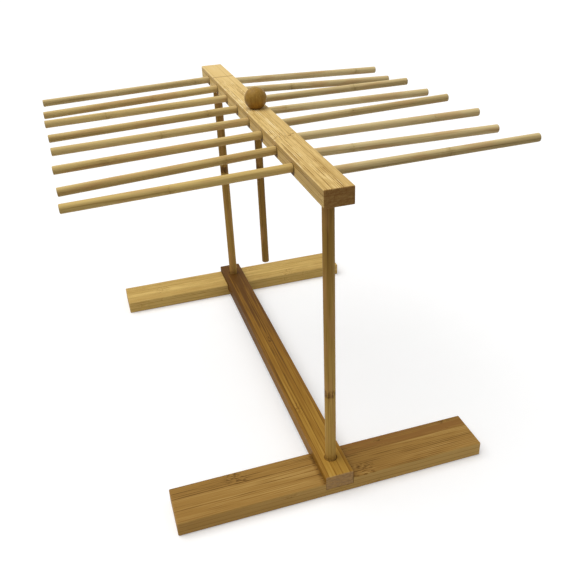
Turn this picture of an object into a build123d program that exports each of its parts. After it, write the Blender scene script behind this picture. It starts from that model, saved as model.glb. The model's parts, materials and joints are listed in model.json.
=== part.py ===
from build123d import *
import os

# Bamboo rack for drying fresh pasta, in millimetres. X runs along the arms and Y along the beam, with
# the front at -Y. Z is up. The origin is on the table, at the centre of the footprint.
# It goes together without glue or screws: a rail drops into a notch in each foot, two posts stand in
# the rail and pin it to the feet, a beam sits on the posts, and the arms push into the beam's sides.

# Feet, which lie across the rack at its front and back
foot_length = 355.0
foot_width = 52.0
foot_thickness = 18.0
foot_ease = 1.5
front_foot_shift = -3.0
notch_depth = 9.0
notch_clearance = 0.15

# Rail, which joins the feet
rail_width = 32.0
rail_thickness = 18.0
rail_ease = 1.0

# Posts
post_diameter = 12.0
post_inset = 29.0
post_to_arm = 18.0
post_end_ease = 0.8
post_clearance = 0.1
foot_socket_floor = 4.0

# Beam, whose top face is the height of the rack without its wand
rack_height = 360.0
beam_width = 29.0
beam_thickness = 17.5
beam_ease = 1.0
beam_socket_roof = 5.0

# Arms: a row on each side of the beam, a little under its mid-height, and the two rows out of step so
# that the holes can be deep
arm_diameter = 9.0
arm_length = 234.0
arm_pitch = 55.0
arm_end_ease = 0.9
arm_clearance = 0.1
arm_hole_wall = 7.0
arm_drop = 1.0
left_row_shift = 20.5
right_row_shift = -3.0

# The rows aren't quite even, from the back of the rack to its front: each arm stands a little way off
# the bottom of its hole, and its hole dips outwards by a few degrees, or rises where the share is negative
arm_stand_off = 15.0
left_stand_off_shares = (1.0, 1.0, 0.9, 0.7, 0.55, 0.55, 0.4, 0.3)
right_stand_off_shares = (0.25, 0.0, 0.1, 0.25, 0.1, 0.75, 0.15, 1.0)
arm_dip = 3.5
left_dip_shares = (0.5, 0.65, 0.4, 0.55, 0.45, 0.6, 0.85, 0.5)
right_dip_shares = (0.5, 0.6, -0.05, 0.1, -0.4, -0.05, 0.15, -0.2)

# Wand, which lifts pasta onto the arms and is kept upright in the middle of the beam
wand_diameter = 9.0
wand_reach = 202.0
wand_end_ease = 0.9
wand_clearance = 0.1
knob_diameter = 26.0
knob_cut = 1.6
knob_socket_depth = 14.0
knob_glue_gap = 0.05

# Eased mouth of every drilled hole that a piece drops into, and the overrun of a slanting cut
mouth_ease = 0.7
cut_overrun = 2.0

# Length of the rack, from the row that reaches nearest to a post
arm_count = len(left_stand_off_shares)
row_half_length = arm_pitch * (arm_count - 1) / 2
post_y = row_half_length + left_row_shift + post_to_arm
half_depth = post_y + post_inset
foot_y = half_depth - foot_width / 2

# Heights
notch_floor_z = foot_thickness - notch_depth
rail_top_z = notch_floor_z + rail_thickness
beam_bottom_z = rack_height - beam_thickness
post_bottom_z = foot_socket_floor
post_top_z = rack_height - beam_socket_roof
arm_z = rack_height - beam_thickness / 2 - arm_drop

# Holes
post_hole_radius = post_diameter / 2 + post_clearance
arm_hole_radius = arm_diameter / 2 + arm_clearance
arm_hole_depth = beam_width - arm_hole_wall
wand_hole_radius = wand_diameter / 2 + wand_clearance
wand_y = (left_row_shift + right_row_shift) / 2

# Rows of arms: name, side of the beam, shift towards the back, stand-off and dip of each arm
LEFT = -1
RIGHT = 1
arm_rows = (
    ("left", LEFT, left_row_shift, left_stand_off_shares, left_dip_shares),
    ("right", RIGHT, right_row_shift, right_stand_off_shares, right_dip_shares),
)


def arm_mouth(side, row_shift, index, dip_share):
    """The mouth of an arm's hole: its origin on the beam's side face, its Z out along the arm."""
    y = row_half_length + row_shift - index * arm_pitch
    outward = Vector(side, 0, 0).rotate(Axis.Y, side * dip_share * arm_dip)
    return Plane(origin=(side * beam_width / 2, y, arm_z), x_dir=(0, 1, 0), z_dir=outward)


os.makedirs("parts", exist_ok=True)

# Feet: an eased board with a notch across the middle of its top, and a socket for the post in the notch
for foot_name, x, y in (("front_foot", front_foot_shift, -foot_y), ("rear_foot", 0, foot_y)):
    socket_y = post_y if y > 0 else -post_y
    with BuildPart() as foot:
        with Locations((x, y, 0)):
            Box(foot_length, foot_width, foot_thickness, align=(Align.CENTER, Align.CENTER, Align.MIN))
        fillet(foot.edges(), radius=foot_ease)
        with BuildSketch(Plane.XY.offset(notch_floor_z)):
            with Locations((0, y)):
                Rectangle(rail_width + 2 * notch_clearance, foot_width + 2 * cut_overrun)
        extrude(amount=notch_depth + cut_overrun, mode=Mode.SUBTRACT)
        with Locations((0, socket_y, notch_floor_z)):
            Hole(radius=post_hole_radius, depth=notch_floor_z - foot_socket_floor)
    foot.part.label = foot_name
    export_step(foot.part, f"parts/{foot_name}.step")

# Rail: an eased bar with a hole right through it for each post
with BuildPart() as base_rail:
    with Locations((0, 0, notch_floor_z)):
        Box(rail_width, 2 * half_depth, rail_thickness, align=(Align.CENTER, Align.CENTER, Align.MIN))
    fillet(base_rail.edges(), radius=rail_ease)
    with Locations((0, -post_y, rail_top_z), (0, post_y, rail_top_z)):
        CounterSinkHole(
            radius=post_hole_radius,
            counter_sink_radius=post_hole_radius + mouth_ease,
            depth=rail_thickness,
            counter_sink_angle=90,
        )
base_rail.part.label = "base_rail"
export_step(base_rail.part, "parts/base_rail.step")

# Posts: dowels that stand on the floor of the sockets in the feet and end under the roof of the beam's
for post_name, y in (("front_post", -post_y), ("rear_post", post_y)):
    with BuildPart() as post:
        with BuildSketch(Plane.XY.offset(post_bottom_z)):
            with Locations((0, y)):
                Circle(post_diameter / 2)
        extrude(amount=post_top_z - post_bottom_z)
        chamfer(post.edges().filter_by(GeomType.CIRCLE), length=post_end_ease)
    post.part.label = post_name
    export_step(post.part, f"parts/{post_name}.step")

# Beam: an eased bar with a blind hole for each arm, a blind socket for each post and the wand's hole
with BuildPart() as top_beam:
    with Locations((0, 0, beam_bottom_z)):
        Box(beam_width, 2 * half_depth, beam_thickness, align=(Align.CENTER, Align.CENTER, Align.MIN))
    fillet(top_beam.edges(), radius=beam_ease)
    for row_name, side, row_shift, stand_off_shares, dip_shares in arm_rows:
        for index, dip_share in enumerate(dip_shares):
            with Locations(arm_mouth(side, row_shift, index, dip_share).offset(cut_overrun)):
                Hole(radius=arm_hole_radius, depth=arm_hole_depth + cut_overrun)
    for y in (-post_y, post_y):
        with Locations(Plane(origin=(0, y, beam_bottom_z), z_dir=(0, 0, -1))):
            CounterSinkHole(
                radius=post_hole_radius,
                counter_sink_radius=post_hole_radius + mouth_ease,
                depth=post_top_z - beam_bottom_z,
                counter_sink_angle=90,
            )
    with Locations((0, wand_y, rack_height)):
        CounterSinkHole(
            radius=wand_hole_radius,
            counter_sink_radius=wand_hole_radius + mouth_ease,
            depth=beam_thickness,
            counter_sink_angle=90,
        )
top_beam.part.label = "top_beam"
export_step(top_beam.part, "parts/top_beam.step")

# Arms: dowels with eased ends, numbered from the back of the rack to its front
for row_name, side, row_shift, stand_off_shares, dip_shares in arm_rows:
    for index, (stand_off_share, dip_share) in enumerate(zip(stand_off_shares, dip_shares)):
        arm_name = f"{row_name}_arm_{index + 1}"
        insertion = arm_hole_depth - stand_off_share * arm_stand_off
        with BuildPart(arm_mouth(side, row_shift, index, dip_share).offset(-insertion)) as arm:
            Cylinder(arm_diameter / 2, arm_length, align=(Align.CENTER, Align.CENTER, Align.MIN))
            fillet(arm.edges().filter_by(GeomType.CIRCLE), radius=arm_end_ease)
        arm.part.label = arm_name
        export_step(arm.part, f"parts/{arm_name}.step")

# Wand: a dowel that hangs through the beam, and the ball on its top end, flat where it sits on the beam
with BuildPart() as wand_rod:
    with BuildSketch(Plane.XY.offset(rack_height - wand_reach)):
        with Locations((0, wand_y)):
            Circle(wand_diameter / 2)
    extrude(amount=wand_reach + knob_socket_depth)
    fillet(wand_rod.edges().filter_by(GeomType.CIRCLE), radius=wand_end_ease)
wand_rod.part.label = "wand_rod"
export_step(wand_rod.part, "parts/wand_rod.step")

with BuildPart() as wand_knob:
    with Locations((0, wand_y, rack_height + knob_diameter / 2 - knob_cut)):
        Sphere(knob_diameter / 2)
    split(bisect_by=Plane.XY.offset(rack_height), keep=Keep.TOP)
    with Locations(Plane(origin=(0, wand_y, rack_height), z_dir=(0, 0, -1))):
        Hole(radius=wand_diameter / 2 + knob_glue_gap, depth=knob_socket_depth)
wand_knob.part.label = "wand_knob"
export_step(wand_knob.part, "parts/wand_knob.step")
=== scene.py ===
import json
import math

import bpy
from mathutils import Matrix, Vector


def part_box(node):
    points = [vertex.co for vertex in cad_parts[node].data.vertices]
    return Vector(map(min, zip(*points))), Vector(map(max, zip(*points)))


# Bamboo rack for drying fresh pasta. Metres, Z up, X along the arms and Y along the beam, with the
# front at -Y. Every piece is a CAD node that keeps its shape. This script gives each one its bamboo,
# and the knob its turned wood, and adds the floor, the light and the camera.
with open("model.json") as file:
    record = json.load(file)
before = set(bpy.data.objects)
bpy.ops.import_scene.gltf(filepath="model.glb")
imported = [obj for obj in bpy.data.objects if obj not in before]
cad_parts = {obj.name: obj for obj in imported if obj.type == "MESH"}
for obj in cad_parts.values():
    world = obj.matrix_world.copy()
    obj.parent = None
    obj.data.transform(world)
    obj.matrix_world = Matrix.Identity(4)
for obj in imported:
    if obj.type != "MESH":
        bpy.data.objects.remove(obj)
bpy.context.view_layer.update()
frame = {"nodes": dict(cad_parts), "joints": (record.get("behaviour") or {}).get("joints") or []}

MM = 0.001
X, Y, Z = Vector((1, 0, 0)), Vector((0, 1, 0)), Vector((0, 0, 1))
ROW_ARMS = sum(name.startswith("left_arm_") for name in frame["nodes"])

# Camera, fitted to the corners of the beam, the front foot and the rail
CAMERA_AZIMUTH = math.radians(-16.47)
CAMERA_ELEVATION = math.radians(30.19)
CAMERA_ROLL = math.radians(-2.46)
CAMERA_DISTANCE = 0.9332
CAMERA_TARGET = Vector((0.0291, 0.0, 0.1123))
FRAME_PIXELS = 580
FOCAL_PIXELS = 692.2
SENSOR_WIDTH_MM = 36.0

# Light
SUN_STRENGTH = 1.8
SUN_DIRECTION = Vector((-0.40, 0.16, 1.0))
SUN_SOFTNESS = math.radians(50)
SKY_TOP = 0.62
SKY_SIDE = 0.20
WHITE = (1.0, 1.0, 1.0, 1.0)

# Floor: its colour for the camera, and the share of the light that it sends back, near and far
FLOOR_RADIUS = 9.0
FLOOR_CORNERS = 96
FLOOR_DROP = 0.2 * MM
FLOOR_COLOUR = 0.86
FLOOR_LIFT = 0.22
FLOOR_NEAR = 0.05
FLOOR_FAR = 0.70
RETURN_NEAR = 0.85
RETURN_FAR = 0.15

# Palettes of bamboo, linear, from its dark fibres to its pale flesh. A place in one runs from 0 to 1
PALE = ((0.26, 0.130, 0.020), (0.55, 0.350, 0.105), (0.79, 0.56, 0.215), (0.93, 0.78, 0.47))
STRAW = ((0.20, 0.100, 0.018), (0.48, 0.300, 0.078), (0.70, 0.49, 0.160), (0.86, 0.67, 0.30))
CREAM = ((0.24, 0.150, 0.050), (0.50, 0.370, 0.160), (0.70, 0.55, 0.280), (0.86, 0.74, 0.45))
HONEY = ((0.13, 0.060, 0.010), (0.33, 0.177, 0.039), (0.49, 0.305, 0.090), (0.67, 0.47, 0.18))
AMBER = ((0.11, 0.044, 0.004), (0.28, 0.132, 0.015), (0.42, 0.230, 0.036), (0.60, 0.39, 0.10))
TAWNY = ((0.12, 0.055, 0.010), (0.31, 0.170, 0.032), (0.50, 0.310, 0.075), (0.68, 0.46, 0.14))
BROWN = ((0.10, 0.045, 0.007), (0.29, 0.153, 0.025), (0.44, 0.255, 0.050), (0.58, 0.37, 0.09))
RUST = (0.26, 0.122, 0.028)
BLUSH = (0.50, 0.255, 0.095)
# The beam's end grain: partly its own darker colour, and darker still as painted shade on its ends
END_DARK = (0.260, 0.114, 0.032)
END_PALE = (0.42, 0.260, 0.118)
# The dark colour of the painted shade about the arms' holes in the beam
RIM_SHADE = (0.08, 0.035, 0.004)
OIL_SHINE = 0.12

# Arms: how far each is from straw to cream, and where its one joint in the cane is, in millimetres
LEFT_PALLOR = 0.4
RIGHT_PALLOR = 0.9
PALLOR = {"left_arm_1": 0.8, "left_arm_6": 0.3, "left_arm_7": 0.3, "left_arm_8": 0.1}
ARM_RING_FIRST = -90.0
ARM_RING_STEP = 67.0
ARM_RING_SPAN = 180.0

# From here on, a size of noise is millimetres along the grain and across it. A pair of levels is where a
# mark begins and where it is full, in millimetres or in noise. Noise and palettes both run from 0 to 1.
# A roughness or a relief that starts with the name of a mark is what a full mark adds or takes away
MIDDLE = 0.5
NOISE_ROUGHNESS = 0.55

# Fibres
HAIR_SIZE = (45.0, 0.4)
BUNDLE_SIZE = (110.0, 1.05)
CLOUD_SIZE = (110.0, 6.0)

# Joints in the cane: a line that wanders and has gaps, and dark and pale dots in a zone about it
SCAR_LINE = (1.5, 0.3)
SCAR_WANDER = 5.0
SCAR_BEND_SIZE = (5.0, 5.0)
SCAR_GAP_SIZE = (2.5, 2.5)
SCAR_GAPS = (0.36, 0.56)
GAP_SEED = 3.0
DOT_SIZE = (5.5, 0.8)
DARK_DOTS = (0.50, 0.62)
PALE_DOTS = (0.46, 0.36)
PALE_DOT_SHARE = 0.6
DOT_ZONE = (18.0, 4.0)
DOT_ZONE_SIZE = (10.0, 4.0)
DOT_ZONE_LEVELS = (0.30, 0.58)

# Pores in an end, and the depth of a stain that is on one face alone
PORES = (0.50, 0.66)
FACE_SKIN = (0.3, 0.1)

# Rods: the turn of their pale side in radians, their marks, and how far each moves a place in the palette
ROD_TURN = 0.8
ROD_TURN_STEP = 2.4
ROD_DRIFT_STEP = 7.3
ROD_CLOUD_STEP = 0.50
ROD_HAIR_STEP = 0.34
ROD_BUNDLES = (0.44, 0.30)
ROD_BUNDLE_STEP = 0.24
ROD_LINE_STEP = 0.14
ROD_DOT_STEP = 0.12
SMUDGE = (6.5, 2.5)
SMUDGE_STEP = 0.06
BLOT_SIZE = (6.0, 2.6)
BLOTS = (0.36, 0.58)
BLUSH_SIZE = (45.0, 7.0)
BLUSH_LEVELS = (0.52, 0.66)
BLUSH_SHARE = 0.35
ROD_END = (1.3, 0.5)
ROD_END_SHARE = 0.5
ROD_PORE_SIZE = (0.5, 0.5)
ROD_PORE_SHARE = 0.3
ROD_ROUGHNESS = 0.58
ROD_BUNDLE_ROUGHNESS = 0.25
ROD_END_ROUGHNESS = 0.2
ROD_HAIR_RELIEF = 0.5
ROD_BUNDLE_RELIEF = 0.9
ROD_SCAR_RELIEF = 0.6
ROD_PORE_RELIEF = 0.8
ROD_RELIEF_DEPTH = 0.08

# Knob: its grain, its pores, and the painted shade on its lower side, below its middle
KNOB_FINE_SIZE = (9.0, 0.6)
KNOB_COARSE_SIZE = (26.0, 2.2)
KNOB_FINE_STEP = 0.3
KNOB_COARSE_STEP = 0.45
KNOB_PORES = (0.36, 0.28)
KNOB_PORE_STEP = 0.12
KNOB_SHADE_BELOW = (-2.0, -12.0)
KNOB_SHADE_BELOW_STEP = 0.2
KNOB_ROUGHNESS = 0.42
KNOB_COARSE_ROUGHNESS = 0.3
KNOB_FINE_RELIEF = 0.5
KNOB_PORE_RELIEF = 0.6
KNOB_RELIEF_DEPTH = 0.08

# How near a whole number counts as that one, and the places of the colours in Blender's mix node
WHOLE_MARGIN = 0.25
MIX_BELOW, MIX_ABOVE, MIX_RESULT = 6, 7, 2


class Field:
    """A number that varies over a surface, with arithmetic that adds nodes to its tree."""

    def __init__(self, tree, socket):
        self.tree = tree
        self.socket = socket

    def __add__(self, other):
        return self.tree.math("ADD", self, other)

    def __sub__(self, other):
        return self.tree.math("SUBTRACT", self, other)

    def __mul__(self, other):
        return self.tree.math("MULTIPLY", self, other)

    def __truediv__(self, other):
        return self.tree.math("DIVIDE", self, other)

    def __rsub__(self, other):
        return self.tree.math("SUBTRACT", other, self)

    __radd__ = __add__
    __rmul__ = __mul__

    def size(self):
        return self.tree.math("ABSOLUTE", self)

    def floor(self):
        return self.tree.math("FLOOR", self)

    def part(self):
        return self.tree.math("FRACT", self)

    def least(self, other):
        return self.tree.math("MINIMUM", self, other)

    def most(self, other):
        return self.tree.math("MAXIMUM", self, other)

    def equals(self, whole):
        """1 where a whole number is this one, else 0."""
        return self.tree.math("COMPARE", self, float(whole), WHOLE_MARGIN)

    def off_whole(self):
        """How far the number is from the nearest whole one."""
        part = self.part()
        return part.least(1.0 - part)

    def towards(self, other, share):
        """Part of the way to another number."""
        return self + (other - self) * share

    def rise(self, start, full):
        """0 at the start, 1 when full and smooth between. The start may also be the greater number."""
        return self.tree.ease(self, start, full)


class Tree:
    """The nodes of a material or a world, with a short call for each kind that the rack needs."""

    def __init__(self, owner):
        owner.use_nodes = True
        self.owner = owner
        self.graph = owner.node_tree
        self.graph.nodes.clear()

    def node(self, kind, inputs, **settings):
        made = self.graph.nodes.new(kind)
        for key, value in settings.items():
            setattr(made, key, value)
        for key, value in inputs.items():
            self.feed(made.inputs[key], value)
        return made

    def feed(self, socket, value):
        if isinstance(value, Field):
            value = value.socket
        if isinstance(value, bpy.types.NodeSocket):
            self.graph.links.new(value, socket)
        else:
            socket.default_value = value

    def math(self, operation, *values):
        made = self.node("ShaderNodeMath", dict(enumerate(values)), operation=operation)
        return Field(self, made.outputs[0])

    def ease(self, value, start, full):
        ends = {"From Min": min(start, full), "From Max": max(start, full)}
        made = self.node("ShaderNodeMapRange", {"Value": value, **ends}, interpolation_type="SMOOTHSTEP")
        result = Field(self, made.outputs["Result"])
        return result if start < full else 1.0 - result

    def vector(self, x, y, z):
        return self.node("ShaderNodeCombineXYZ", {"X": x, "Y": y, "Z": z}).outputs[0]

    def noise(self, x, y, z, detail=1.0):
        place = self.vector(x, y, z)
        settings = {"Vector": place, "Scale": 1.0, "Detail": detail, "Roughness": NOISE_ROUGHNESS}
        return Field(self, self.node("ShaderNodeTexNoise", settings).outputs["Fac"])

    def chance(self, x, y, z):
        """A number from 0 to 1 that is the same wherever x, y and z are."""
        made = self.node("ShaderNodeTexWhiteNoise", {"Vector": self.vector(x, y, z)})
        return Field(self, made.outputs["Value"])

    def ramp(self, value, colours):
        made = self.node("ShaderNodeValToRGB", {"Fac": value})
        made.color_ramp.interpolation = "EASE"
        elements = made.color_ramp.elements
        while len(elements) < len(colours):
            elements.new(MIDDLE)
        for index, colour in enumerate(colours):
            elements[index].position = index / (len(colours) - 1)
            elements[index].color = (*colour, 1.0)
        return made.outputs["Color"]

    def blend(self, share, below, above):
        """A colour laid over another one."""
        made = self.graph.nodes.new("ShaderNodeMix")
        made.data_type = "RGBA"
        self.feed(made.inputs["Factor"], share)
        self.feed(made.inputs[MIX_BELOW], below)
        self.feed(made.inputs[MIX_ABOVE], (*above, 1.0))
        return made.outputs[MIX_RESULT]

    def place(self, centre, *axes):
        """Millimetres from the centre along each axis, in the rack's own frame."""
        point = self.node("ShaderNodeTexCoord", {}).outputs["Object"]
        offset = self.node("ShaderNodeVectorMath", {0: point, 1: centre}, operation="SUBTRACT")
        found = []
        for axis in axes:
            share = {0: offset.outputs[0], 1: axis}
            along = self.node("ShaderNodeVectorMath", share, operation="DOT_PRODUCT")
            found.append(Field(self, along.outputs["Value"]) / MM)
        return found

    def finish(self, colour, roughness, height, depth):
        """An oiled surface: colour, roughness, and relief from a height that is depth millimetres deep."""
        bump = self.node("ShaderNodeBump", {"Height": height, "Distance": depth * MM, "Strength": 1.0})
        looks = {
            "Base Color": colour,
            "Roughness": roughness,
            "Specular IOR Level": OIL_SHINE,
            "Normal": bump.outputs["Normal"],
        }
        shader = self.node("ShaderNodeBsdfPrincipled", looks)
        self.node("ShaderNodeOutputMaterial", {"Surface": shader.outputs[0]})
        return self.owner


class Grain:
    """Places in a piece, in millimetres from its middle: u along its fibres, v and w across them."""

    def __init__(self, u, v, w):
        self.tree = u.tree
        self.u, self.v, self.w = u, v, w

    def streaks(self, length, width, drift, detail=1.0):
        """Noise in streaks of a length and a width, moved along the grain by the drift."""
        return self.tree.noise(self.u / length + drift, self.v / width, self.w / width, detail)

    def spots(self, length, width, seed, detail=1.0):
        """Noise in spots of a length and a width, moved across the grain by the seed."""
        return self.tree.noise(self.u / length, self.v / width, self.w / width + seed, detail)

    def threads(self, v_width, w_width, seed, detail=1.0):
        """Noise that is the same all along the grain."""
        return self.tree.noise(self.v / v_width, self.w / w_width, seed, detail)


def span(away, above):
    """The straight distance between two places that are this far apart in two directions."""
    return away.tree.math("SQRT", away * away + above * above)


def middle_one(first, second, third):
    return first.least(second).most(first.most(second).least(third))


def cover(node_name, material):
    """Put the finish of one CAD node in every slot that it has."""
    mesh = frame["nodes"][node_name].data
    if not mesh.materials:
        mesh.materials.append(material)
    for index in range(len(mesh.materials)):
        mesh.materials[index] = material


def fibres(grain, drift):
    """Bamboo's hair lines, its bundles of fibre and its slow clouds of colour."""
    hair = grain.streaks(*HAIR_SIZE, drift)
    bundle = grain.streaks(*BUNDLE_SIZE, drift)
    cloud = grain.streaks(*CLOUD_SIZE, drift, detail=2.0)
    return hair, bundle, cloud


def knuckle(grain, place, seed, wander=SCAR_WANDER):
    """The scar of a joint in the cane: a line, broken where it wanders, and dark and pale dots about it."""
    away = grain.u - place
    if wander:
        away = away + (grain.threads(*SCAR_BEND_SIZE, seed) - MIDDLE) * wander
    distance = away.size()
    line = distance.rise(*SCAR_LINE)
    if wander:
        line = line * grain.threads(*SCAR_GAP_SIZE, seed + GAP_SEED, detail=0.0).rise(*SCAR_GAPS)
    dots = grain.spots(*DOT_SIZE, seed, detail=1.5)
    zone = distance.rise(*DOT_ZONE) * grain.spots(*DOT_ZONE_SIZE, seed).rise(*DOT_ZONE_LEVELS)
    return line, (dots.rise(*DARK_DOTS) - dots.rise(*PALE_DOTS) * PALE_DOT_SHARE) * zone


def mouth(arm_name, face_x):
    """The place where an arm's centre line meets a side of the beam."""
    low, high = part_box(arm_name)
    centre = (low + high) / 2
    axis = next(Vector(joint["axis"]) for joint in frame["joints"] if joint["child"] == arm_name)
    return centre + axis * ((face_x - centre.x) / axis.x)


class Board:
    """Bamboo pressed from flat strips in layers. A class of its own has the looks of each board.

    knuckles has the strip and the place along the grain of each joint in the cane, and how strong its
    line and its dots are. One without dots is a straight line. strips has the looks of the strips in
    the top face: each one's place in the row, tone, how streaky it is, and how rusty. Lengths and
    places are in millimetres.
    """

    # Grain, and how the strips lie: each layer's seams are a part of a strip off those of the next
    along, across = X, Y
    layers = 3
    layer_shift = 0.37
    strip_width = 17.3
    strip_shift = -9.4
    seam_line = (0.55, 0.15)
    top_skin = (1.6, 0.8)
    out_of_sight = 1000.0

    # Numbers added to the seed, which keep what is drawn for each strip apart
    tone_draw, busy_draw, rust_draw, place_draw = 0.0, 0.3, 0.5, 0.7

    # Tone of the strips in the sides, how much it varies, and how much paler the far end of the grain is
    side_tone = 0.5
    side_spread = 0.5
    lean = 0.0

    # Rust: how rusty a strip may be, where rust begins, and how rusty the sides of the top layer are
    rusty = 0.4
    rust_from = -out_of_sight
    rust_fade = 30.0
    rust_levels = (0.36, 0.58)
    side_rust = 0.0

    # Fibres: how fine they are, how a strip's tone moves them, how patchy they are, and where they end
    fine = 1.0
    tone_drift = 37.0
    tone_shift = 3.0
    dark_bundles = (0.44, 0.32)
    pale_bundles = (0.56, 0.68)
    patch_size = (130.0, 8.0)
    patches = (0.35, 0.62)
    patchiness = 0.65
    plain_from = out_of_sight
    plain_fade = 100.0

    # Rows of fibre: how they sway, how long their dashes are, and where in a row a line or a gleam lies,
    # each with its own seeds for the dashes, the row and the layer
    row_pitch = 2.5
    row_sway = 0.9
    row_sway_size = (160.0, 9.0)
    dash = 22.0
    line_of_row = (0.26, 0.10)
    line_dashes = (0.42, 0.58)
    line_seeds = (0.0, 3.7, 5.3)
    gleam_of_row = (0.26, 0.40)
    gleam_dashes = (0.48, 0.62)
    gleam_seeds = (9.0, 4.1, 5.9)

    # Joints in the cane: how far they wander, and how far apart those in the sides are
    wander = SCAR_WANDER
    side_knuckle_pitch = 240.0

    # Edges: where an end begins, where wear lies and how it frays, and the painted shade along the bottom
    end_edge = (0.9, 0.3)
    worn_edge = (1.6, 0.2)
    cloud_fray = 3.0
    hair_fray = 1.5
    under_edge = (1.4, 0.4)

    # How far each mark moves a place in the palette
    tone_step = 0.30
    hair_step = 0.30
    cloud_step = 0.18
    top_cloud_step = 0.27
    dark_bundle_step = 0.26
    pale_bundle_step = 0.16
    row_line_step = 0.30
    row_gleam_step = 0.22
    side_line_step = 0.15
    side_dot_step = 0.2
    seam_step = 0.22
    wear_step = 0.08
    under_step = 0.28
    mottle_step = 0.2
    rim_step = 1.1

    # Ends: their colour, how much of it shows, and their mottle, pores and clouds
    end_colour = END_PALE
    end_share = 0.58
    mottle_size = (5.0, 2.4)
    mottle_levels = (0.44, 0.60)
    mottle_seed = 9.0
    pore_size = (0.55, 0.55)
    pore_share = 0.08
    end_cloud_size = (4.5, 1.8)
    end_clouds = (0.36, 0.62)
    end_cloud_seed = 5.0
    end_cloud_share = 0.16

    # How far the rims' painted shade is laid over in its dark colour
    rim_shade_share = 0.0

    # Roughness and relief
    roughness = 0.60
    bundle_roughness = 0.25
    end_roughness = 0.2
    wear_roughness = 0.08
    hair_relief = 0.4
    bundle_relief = 0.8
    row_relief = 0.6
    seam_relief = 0.8
    scar_relief = 0.8
    pore_relief = 0.6
    relief_depth = 0.06

    def __init__(self):
        low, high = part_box(self.node_name)
        half = (high - low) / 2 / MM
        through = self.along.cross(self.across)
        self.half_u, self.half_v, self.half_w = (
            abs(axis.dot(half)) for axis in (self.along, self.across, through)
        )
        self.tree = Tree(bpy.data.materials.new(f"{self.node_name}_bamboo"))
        self.u, self.v, self.w = self.tree.place((low + high) / 2, self.along, self.across, through)
        self.grain = Grain(self.u, self.v, self.w)
        self.below_top = self.half_w - self.w
        self.above_bottom = self.half_w + self.w

    def dress(self):
        """Give the board's CAD node its finish."""
        self.lay_strips()
        self.draw_fibres()
        self.draw_rows()
        self.draw_knuckles()
        cover(self.node_name, self.material())

    def chance(self, number):
        """From 0 to 1, for each strip in each layer."""
        return self.tree.chance(self.strip, self.layer, self.seed + number)

    def rims(self):
        """Painted shade where other pieces meet the board, or None."""
        return None

    def lay_strips(self):
        """Layers, strips and seams. The outer layers end at the faces, which aren't seams."""
        ply = 2 * self.half_w / self.layers
        depth = (self.below_top / ply).most(0.5).least(self.layers - 0.5)
        self.layer = depth.floor()
        row = (self.v - self.strip_shift) / self.strip_width + self.layer * self.layer_shift
        self.strip = row.floor()
        off_seam = (row.off_whole() * self.strip_width).least(depth.off_whole() * ply)
        self.seam = off_seam.rise(*self.seam_line)
        top_layer = self.layer.equals(0)
        self.top = top_layer * self.below_top.rise(*self.top_skin)

        self.tone = self.side_tone + (self.chance(self.tone_draw) - MIDDLE) * self.side_spread
        self.busy = self.chance(self.busy_draw)
        self.rust = self.chance(self.rust_draw) * self.rusty
        for number, tone, busy, rust in self.strips:
            here = self.strip.equals(number) * self.top
            self.tone = self.tone.towards(tone, here)
            self.busy = self.busy.towards(busy, here)
            self.rust = self.rust.towards(rust, here)
        begun = self.u.rise(self.rust_from - self.rust_fade, self.rust_from + self.rust_fade)
        self.rust = self.rust * begun + top_layer * (1.0 - self.top) * self.side_rust

    def draw_fibres(self):
        """Fibres, which shift from strip to strip, with streaks that come and go."""
        self.drift = self.tone * self.tone_drift + self.seed
        finer = Grain(self.u, (self.v + self.tone * self.tone_shift) * self.fine, self.w * self.fine)
        self.hair, self.bundle, self.cloud = fibres(finer, self.drift)
        patch = self.grain.streaks(*self.patch_size, self.drift).rise(*self.patches)
        patch = patch * self.patchiness + (1.0 - self.patchiness)
        self.streaks = self.busy * patch * self.u.rise(self.plain_from, self.plain_from - self.plain_fade)
        cloud_step = self.top * self.top_cloud_step + self.cloud_step
        self.value = MIDDLE + (self.tone - MIDDLE) * self.tone_step + (self.cloud - MIDDLE) * cloud_step
        self.value = self.value + (self.hair - MIDDLE) * self.hair_step
        dark, pale = self.bundle.rise(*self.dark_bundles), self.bundle.rise(*self.pale_bundles)
        self.value = self.value - dark * self.streaks * self.dark_bundle_step
        self.value = self.value + pale * self.streaks * self.pale_bundle_step
        self.value = self.value + self.u * (self.lean / self.half_u)

    def draw_rows(self):
        """Rows of fibre, evenly spaced, each of which comes and goes along the grain."""
        sway = self.grain.streaks(*self.row_sway_size, self.drift, detail=0.0) * self.row_sway
        rows = (self.v + self.w) * self.fine / self.row_pitch + sway
        row = rows.floor()
        off_row = (rows.part() - MIDDLE).size()
        line = self.dashes(row, *self.line_seeds).rise(*self.line_dashes)
        gleam = self.dashes(row, *self.gleam_seeds).rise(*self.gleam_dashes)
        self.row_lines = off_row.rise(*self.line_of_row) * line * self.streaks
        row_gleams = off_row.rise(*self.gleam_of_row) * gleam * self.streaks
        self.value = self.value - self.row_lines * self.row_line_step + row_gleams * self.row_gleam_step

    def dashes(self, row, dash_seed, row_seed, layer_seed):
        """Noise along each row of each layer, as long as a dash."""
        along = self.u / self.dash + self.drift + dash_seed
        return self.tree.noise(along, row * row_seed, self.layer * layer_seed)

    def draw_knuckles(self):
        """Joints in the cane: those of the top face where the board has them, the others by chance."""
        self.scars = 0.0
        for number, place, line_step, dot_step in self.knuckles:
            here = self.strip.equals(number) * self.top
            line, dots = knuckle(self.grain, place, self.seed + number, self.wander if dot_step else 0.0)
            self.value = self.value - (line * line_step + dots * dot_step) * here
            self.scars = self.scars + line * here
        pitch = self.side_knuckle_pitch
        start = self.chance(self.place_draw) * pitch
        cane = Grain(((self.u - start) / pitch).part() * pitch, self.v, self.w)
        line, dots = knuckle(cane, pitch / 2, self.seed)
        marks = line * self.side_line_step + dots * self.side_dot_step
        self.value = self.value - marks * (1.0 - self.top)

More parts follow.
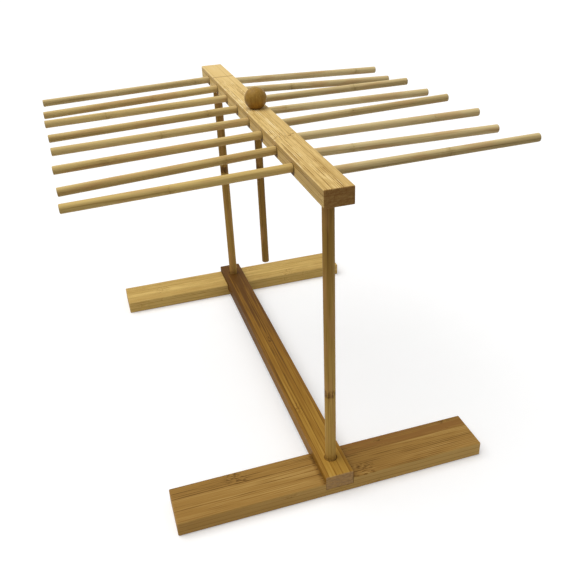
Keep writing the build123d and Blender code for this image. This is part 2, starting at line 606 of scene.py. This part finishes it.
    def material(self):
        """Ends, edges, the painted shade along the bottom and in the rims, and the surface that all of it
        makes.
        """
        to_end, to_side = self.half_u - self.u.size(), self.half_v - self.v.size()
        to_edge = middle_one(to_end, to_side, self.half_w - self.w.size())
        end = to_end.rise(*self.end_edge)
        fray = (self.cloud - MIDDLE) * self.cloud_fray + (self.hair - MIDDLE) * self.hair_fray
        wear = (to_edge + fray).rise(*self.worn_edge) * (1.0 - end)
        # Painted shade along the bottom edge
        under = self.above_bottom.rise(*self.under_edge) * (1.0 - end)
        mottle = self.grain.threads(*self.mottle_size, self.seed + self.mottle_seed)
        mottle = mottle.rise(*self.mottle_levels) * end
        value = self.value - self.seam * self.seam_step + wear * self.wear_step
        value = value - under * self.under_step - mottle * self.mottle_step
        rims = self.rims()
        if rims is not None:
            # Rims: painted shade where other pieces meet the board
            value = value - rims * self.rim_step

        colour = self.tree.ramp(value, self.colours)
        if self.rim_shade_share:
            colour = self.tree.blend(rims * self.rim_shade_share, colour, RIM_SHADE)
        colour = self.tree.blend(self.rust * self.cloud.rise(*self.rust_levels), colour, RUST)
        pores = self.grain.threads(*self.pore_size, self.seed, detail=0.0).rise(*PORES)
        cloud = self.grain.threads(*self.end_cloud_size, self.seed + self.end_cloud_seed, detail=1.5)
        cloud = cloud.rise(*self.end_clouds)
        share = self.end_share + pores * self.pore_share + cloud * self.end_cloud_share
        colour = self.tree.blend(end * share, colour, self.end_colour)

        roughness = self.roughness + (self.bundle - MIDDLE) * self.bundle_roughness
        roughness = roughness + end * self.end_roughness - wear * self.wear_roughness
        height = self.hair * self.hair_relief + self.bundle * self.bundle_relief
        height = height - self.row_lines * self.row_relief - self.seam * self.seam_relief
        height = height - self.scars * self.scar_relief - end * pores * self.pore_relief
        return self.tree.finish(colour, roughness, height, self.relief_depth)


class FrontFoot(Board):
    node_name = "front_foot"
    colours = HONEY
    seed = 3.0
    knuckles = (
        (-1, 34.0, 0.15, 0.50), (1, -104.0, 0.18, 0.38), (1, 70.0, 0.15, 0.20), (1, 152.0, 0.15, 0.20),
    )
    strips = ((-1, 0.78, 0.7, 0.1), (0, 0.86, 0.8, 0.0), (1, 0.52, 0.7, 1.0))
    side_tone = 0.62
    side_spread = 0.1
    lean = 0.11
    rusty = 0.0
    rust_from = 10.0
    dash = 48.0

    # Painted shade beside the rail: where it begins and is full, out from its side, and how dark it is
    left_shade = (-6.0, -0.5)
    left_shade_share = 0.26
    right_shade = (4.0, 0.5)
    right_shade_share = 0.12
    shade_skin = (1.0, 0.5)

    def rims(self):
        """Painted shade along the sides of the rail, heavier on its left."""
        rail_low, rail_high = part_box("base_rail")
        foot_low, foot_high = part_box(self.node_name)
        x = self.u + (foot_low.x + foot_high.x) / 2 / MM
        left = (x - rail_low.x / MM).rise(*self.left_shade) * self.left_shade_share
        right = (x - rail_high.x / MM).rise(*self.right_shade) * self.right_shade_share
        return (left + right) * self.below_top.rise(*self.shade_skin)


class RearFoot(Board):
    node_name = "rear_foot"
    colours = STRAW
    seed = 8.0
    knuckles = ((-1, 90.0, 0.15, 0.3), (0, -120.0, 0.15, 0.3), (1, 30.0, 0.15, 0.3))
    strips = ((-1, 0.4, 0.6, 0.1), (0, 0.6, 0.5, 0.0), (1, 0.4, 0.6, 0.1))
    rusty = 0.2


class BaseRail(Board):
    node_name = "base_rail"
    along, across = Y, -X
    colours = AMBER
    seed = 5.0
    strip_width = 8.0
    strip_shift = 4.0
    knuckles = ((-1, 20.0, 0.2, 0.3), (0, -140.0, 0.15, 0.3))
    strips = (
        (-3, -0.70, 0.5, 0.3), (-2, 0.00, 0.6, 0.0), (-1, -0.35, 0.7, 0.0), (0, 0.10, 0.6, 0.0),
        (1, -0.80, 0.5, 0.2),
    )
    side_tone = -0.6
    side_spread = 0.1
    # Painted shade: the rail darker towards its rear end
    lean = -0.34
    rusty = 0.0
    fine = 0.6
    dash = 60.0
    seam_step = 0.30
    mottle_step = 0.6
    rim_reach = (1.8, 0.3)

    def rims(self):
        """Painted shade in rims about the holes that the posts stand in."""
        low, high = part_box("rear_post")
        radius = (high.y - low.y) / 2 / MM
        away = self.u.size() - (high.y / MM - radius)
        return (span(away, self.v) - radius).rise(*self.rim_reach) * self.below_top.rise(*FACE_SKIN)


class TopBeam(Board):
    node_name = "top_beam"
    along, across = Y, -X
    colours = PALE
    seed = 11.0
    strip_shift = -5.7
    knuckles = (
        (0, -106.0, 0.65, 0.24), (-1, -102.0, 0.60, 0.20), (1, -110.0, 0.50, 0.18),
        (0, 180.0, 0.9, 0.0), (-1, 180.0, 0.9, 0.0), (1, 180.0, 0.9, 0.0),
    )
    strips = ((-1, 0.68, 0.5, 0.0), (0, 0.74, 1.6, 0.0), (1, 0.74, 1.4, 0.0))
    side_tone = 0.56
    side_spread = 0.25
    # Painted light: the whole beam paler towards its rear end
    lean = 0.11
    rusty = 0.0
    side_rust = 0.3
    fine = 1.15
    plain_from = 195.0
    wander = 12.0
    wear_step = 0.10
    # End grain, darkened further as painted shade
    end_colour = END_DARK
    rim_shade_share = 0.8

    # Painted shade about the arms' holes: how far it reaches, and how far in front of and below each hole
    # it lies
    rim_reach = (2.6, 1.4)
    rim_forward = 0.9
    rim_drop = 1.2

    def rims(self):
        """Painted shade in rims about the holes in both sides, which stand at an even pitch."""
        beam_low, beam_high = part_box(self.node_name)
        middle = (beam_low + beam_high) / 2
        rims = 0.0
        for row, face_x, side in (("left", beam_low.x, 1.0), ("right", beam_high.x, -1.0)):
            ends = (f"{row}_arm_{number}" for number in (1, ROW_ARMS))
            first, last = ((mouth(arm_name, face_x) - middle) / MM for arm_name in ends)
            low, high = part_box(f"{row}_arm_1")
            radius = (high.y - low.y) / 2 / MM
            pitch = (first.y - last.y) / (ROW_ARMS - 1)
            nearest = ((self.u - last.y) / pitch + 0.5).floor().most(0.0).least(ROW_ARMS - 1.0)
            away = self.u - last.y - nearest * pitch + self.rim_forward
            above = self.w - last.z + self.rim_drop
            face = (self.half_v - self.v * side).rise(*FACE_SKIN)
            rims = (span(away, above) - radius).rise(*self.rim_reach) * face + rims
        return rims


def mixed(first, second, share):
    """A palette between two others."""
    return [Vector(one).lerp(Vector(other), share) for one, other in zip(first, second)]


def dowel(node_name, along, pale_side, colours, seed, rings, tone=0.52, contrast=0.10, lean=0.0):
    """A rod turned from one cane: pale on its flesh's side, darker on its skin's; an arm's top is painted
    light.

    rings has the place along the rod of each joint in the cane, and how dark the stain over it is.
    """
    low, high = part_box(node_name)
    side = (pale_side - along * along.dot(pale_side)).normalized()
    side.rotate(Matrix.Rotation(math.sin(seed * ROD_TURN_STEP) * ROD_TURN, 3, along))
    tree = Tree(bpy.data.materials.new(f"{node_name}_bamboo"))
    u, v, w = tree.place((low + high) / 2, along, side, along.cross(side))
    grain = Grain(u, v, w)
    half_u = (high - low).length / 2 / MM
    radius = min(high - low) / 2 / MM

    hair, bundle, cloud = fibres(grain, seed * ROD_DRIFT_STEP)
    value = tone + v / radius * contrast + u * (lean / half_u)
    value = value + (cloud - MIDDLE) * ROD_CLOUD_STEP + (hair - MIDDLE) * ROD_HAIR_STEP
    value = value - bundle.rise(*ROD_BUNDLES) * ROD_BUNDLE_STEP
    scars = 0.0
    for place, stain in rings:
        line, dots = knuckle(grain, place, seed)
        smudge = (u - place).size().rise(*SMUDGE)
        blot = grain.spots(*BLOT_SIZE, seed).rise(*BLOTS)
        value = value - line * ROD_LINE_STEP - dots * ROD_DOT_STEP - smudge * (SMUDGE_STEP + blot * stain)
        scars = scars + line
    end = (half_u - u.size()).rise(*ROD_END)
    pores = grain.threads(*ROD_PORE_SIZE, seed, detail=0.0).rise(*PORES)
    blush = grain.spots(*BLUSH_SIZE, seed).rise(*BLUSH_LEVELS)
    colour = tree.ramp(value, colours)
    colour = tree.blend(blush * BLUSH_SHARE, colour, BLUSH)
    colour = tree.blend(end * (ROD_END_SHARE + pores * ROD_PORE_SHARE), colour, END_PALE)

    roughness = ROD_ROUGHNESS + (bundle - MIDDLE) * ROD_BUNDLE_ROUGHNESS + end * ROD_END_ROUGHNESS
    height = hair * ROD_HAIR_RELIEF + bundle * ROD_BUNDLE_RELIEF
    height = height - scars * ROD_SCAR_RELIEF - end * pores * ROD_PORE_RELIEF
    cover(node_name, tree.finish(colour, roughness, height, ROD_RELIEF_DEPTH))


def knob(node_name, colours, seed):
    """A turned ball with its grain upright, darker below as painted shade."""
    low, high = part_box(node_name)
    tree = Tree(bpy.data.materials.new(f"{node_name}_wood"))
    grain = Grain(*tree.place((low + high) / 2, Z, X, Y))
    fine = grain.streaks(*KNOB_FINE_SIZE, seed, detail=2.0)
    coarse = grain.streaks(*KNOB_COARSE_SIZE, seed, detail=2.0)
    pores = fine.rise(*KNOB_PORES)
    shade_below = grain.u.rise(*KNOB_SHADE_BELOW)
    value = MIDDLE + (coarse - MIDDLE) * KNOB_COARSE_STEP + (fine - MIDDLE) * KNOB_FINE_STEP
    value = value - pores * KNOB_PORE_STEP - shade_below * KNOB_SHADE_BELOW_STEP
    roughness = KNOB_ROUGHNESS + (coarse - MIDDLE) * KNOB_COARSE_ROUGHNESS
    height = coarse + fine * KNOB_FINE_RELIEF - pores * KNOB_PORE_RELIEF
    cover(node_name, tree.finish(tree.ramp(value, colours), roughness, height, KNOB_RELIEF_DEPTH))


def bamboo():
    """Every CAD node's finish."""
    for board in (FrontFoot, RearFoot, BaseRail, TopBeam):
        board().dress()
    # The posts' lean is painted light and shade: paler low down near the floor, darker up under the beam
    dowel("front_post", Z, X, TAWNY, 21.0, ((-60.0, 0.40), (-150.0, 0.10)), tone=0.57, lean=-0.20)
    dowel("rear_post", Z, X, TAWNY, 22.0, ((30.0, 0.40), (-150.0, 0.10)), tone=0.48, lean=-0.20)
    # The wand rod's low tone is painted shade: it is drawn darker than the posts
    dowel("wand_rod", Z, X, TAWNY, 31.0, ((20.0, 0.2),), tone=0.27)
    knob("wand_knob", BROWN, 41.0)
    pulls = [joint for joint in frame["joints"] if joint["name"].endswith("_pull")]
    for index, joint in enumerate(pulls):
        arm_name = joint["child"]
        pallor = PALLOR.get(arm_name, RIGHT_PALLOR if arm_name.startswith("right") else LEFT_PALLOR)
        ring = (ARM_RING_FIRST + (index * ARM_RING_STEP) % ARM_RING_SPAN, 0.0)
        colours = mixed(STRAW, CREAM, pallor)
        # The arms are pale on top and darker below, turned a little by chance: painted light from above,
        # painted shade beneath
        dowel(arm_name, Vector(joint["axis"]), Z, colours, 50.0 + index, (ring,), contrast=0.17)


def seen(tree):
    """1 in what the camera shows, directly or in a gloss or a glass, and 0 in what only sends light on."""
    rays = tree.node("ShaderNodeLightPath", {}).outputs
    straight = Field(tree, rays["Is Camera Ray"])
    return straight.most(Field(tree, rays["Is Glossy Ray"])).most(Field(tree, rays["Is Transmission Ray"]))


def floor():
    """A plain pale floor that keeps the rack's shadow, and that shows nothing from below."""
    bpy.ops.mesh.primitive_circle_add(
        vertices=FLOOR_CORNERS, radius=FLOOR_RADIUS, fill_type="NGON", location=(0, 0, -FLOOR_DROP)
    )
    plane = bpy.context.object
    plane.name = "floor"
    tree = Tree(bpy.data.materials.new("floor_pale"))
    pale = tree.node("ShaderNodeBsdfDiffuse", {"Color": (FLOOR_COLOUR,) * 3 + (1.0,)})
    lift = tree.node("ShaderNodeEmission", {"Color": WHITE, "Strength": FLOOR_LIFT})
    shown = tree.node("ShaderNodeAddShader", {0: pale.outputs[0], 1: lift.outputs[0]})
    x, y = tree.place(Vector(), X, Y)
    foot_low, foot_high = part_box("rear_foot")
    x = (x.size() - foot_high.x / MM).most(0.0)
    y = (y.size() - foot_high.y / MM).most(0.0)
    away = span(x, y) * MM
    share = RETURN_NEAR + (RETURN_FAR - RETURN_NEAR) * away.rise(FLOOR_NEAR, FLOOR_FAR)
    grey = tree.node("ShaderNodeBsdfDiffuse", {"Color": tree.vector(share, share, share)})
    faced = tree.node("ShaderNodeMixShader", {0: seen(tree), 1: grey.outputs[0], 2: shown.outputs[0]})
    clear = tree.node("ShaderNodeBsdfTransparent", {})
    below = tree.node("ShaderNodeNewGeometry", {}).outputs["Backfacing"]
    surface = tree.node("ShaderNodeMixShader", {0: below, 1: faced.outputs[0], 2: clear.outputs[0]})
    tree.node("ShaderNodeOutputMaterial", {"Surface": surface.outputs[0]})
    plane.data.materials.append(tree.owner)


def sky():
    """A white background, and a soft light that comes more from above than from the sides."""
    world = bpy.data.worlds.new("studio")
    bpy.context.scene.world = world
    tree = Tree(world)
    direction = tree.node("ShaderNodeTexCoord", {}).outputs["Generated"]
    height = tree.node("ShaderNodeSeparateXYZ", {0: direction}).outputs["Z"]
    level = tree.node("ShaderNodeMapRange", {"Value": height, "To Min": SKY_SIDE, "To Max": SKY_TOP})
    soft = tree.node("ShaderNodeBackground", {"Color": WHITE, "Strength": level.outputs[0]})
    white = tree.node("ShaderNodeBackground", {"Color": WHITE})
    mix = tree.node("ShaderNodeMixShader", {0: seen(tree), 1: soft.outputs[0], 2: white.outputs[0]})
    tree.node("ShaderNodeOutputWorld", {"Surface": mix.outputs[0]})


def lamp():
    """One large soft lamp, above the rack and a little behind its left."""
    data = bpy.data.lights.new("key", "SUN")
    data.energy = SUN_STRENGTH
    data.angle = SUN_SOFTNESS
    key = bpy.data.objects.new("key", data)
    key.rotation_euler = SUN_DIRECTION.to_track_quat("Z", "Y").to_euler()
    bpy.context.scene.collection.objects.link(key)


def camera():
    """The photograph's view."""
    back = Vector((
        math.sin(CAMERA_AZIMUTH) * math.cos(CAMERA_ELEVATION),
        -math.cos(CAMERA_AZIMUTH) * math.cos(CAMERA_ELEVATION),
        math.sin(CAMERA_ELEVATION),
    ))
    right = Z.cross(back).normalized()
    up = back.cross(right)
    turn = Matrix.Rotation(CAMERA_ROLL, 3, back)
    axes = Matrix((turn @ right, turn @ up, back)).transposed().to_4x4()
    data = bpy.data.cameras.new("photo_view")
    data.sensor_width = SENSOR_WIDTH_MM
    data.lens = FOCAL_PIXELS / FRAME_PIXELS * SENSOR_WIDTH_MM
    eye = bpy.data.objects.new("photo_view", data)
    eye.matrix_world = Matrix.Translation(CAMERA_TARGET + back * CAMERA_DISTANCE) @ axes
    bpy.context.scene.collection.objects.link(eye)
    bpy.context.scene.camera = eye


bamboo()
floor()
sky()
lamp()
camera()
bpy.context.scene.view_settings.view_transform = "Standard"
